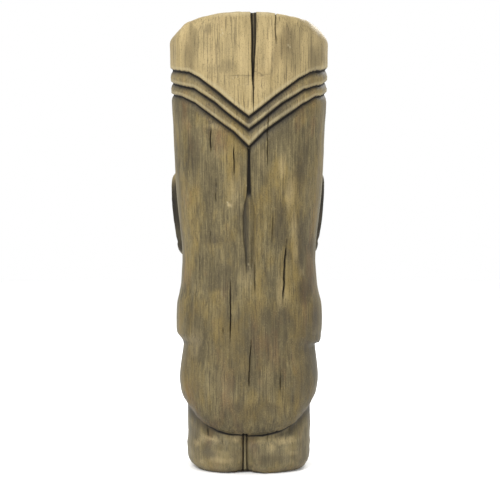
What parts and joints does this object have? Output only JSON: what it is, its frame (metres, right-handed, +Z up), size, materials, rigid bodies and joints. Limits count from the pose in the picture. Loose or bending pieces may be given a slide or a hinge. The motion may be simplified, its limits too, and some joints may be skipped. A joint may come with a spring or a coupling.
{
  "type": "tiki figure",
  "caption": "Free-standing tiki figure: hollow moulded shells in the shape of a carved log, with inner post, ribs and a weighted base on rubber pads.",
  "frame": {"origin": "on the floor, under the middle of the figure", "axes": "+Z up along the figure, +X to the figure's left hand, the figure faces -Y and its back is +Y"},
  "size_m": [0.354, 0.3001, 1],
  "materials": {
    "moulded_skin": "resin and glass laminate painted and washed as weathered wood",
    "glass_tape": "woven glass tape wetted out with resin",
    "plywood": "raw birch plywood",
    "softwood": "planed pine",
    "steel": "zinc plated",
    "rubber": "black moulded rubber",
    "concrete": "cast concrete"
  },
  "bodies": {
    "root": {"rear_shell": "moulded_skin", "front_shell": "moulded_skin", "seam_tape_left": "glass_tape", "seam_tape_right": "glass_tape", "hip_rib": "plywood", "neck_rib": "plywood", "head_rib": "plywood", "rib_cleats": "softwood", "cleat_screws": "steel", "side_block_left": "softwood", "side_block_right": "softwood", "rear_block_left": "softwood", "rear_block_right": "softwood", "front_block_left": "softwood", "front_block_right": "softwood", "board_screws": "steel", "post_screws": "steel", "spine_post": "softwood", "threaded_inserts": "steel", "pad_front_right": "rubber", "pad_rear_right": "rubber", "pad_front_left": "rubber", "pad_rear_left": "rubber", "pad_screws": "steel", "base_board": "plywood", "ballast_block": "concrete"}
  },
  "joints": []
}
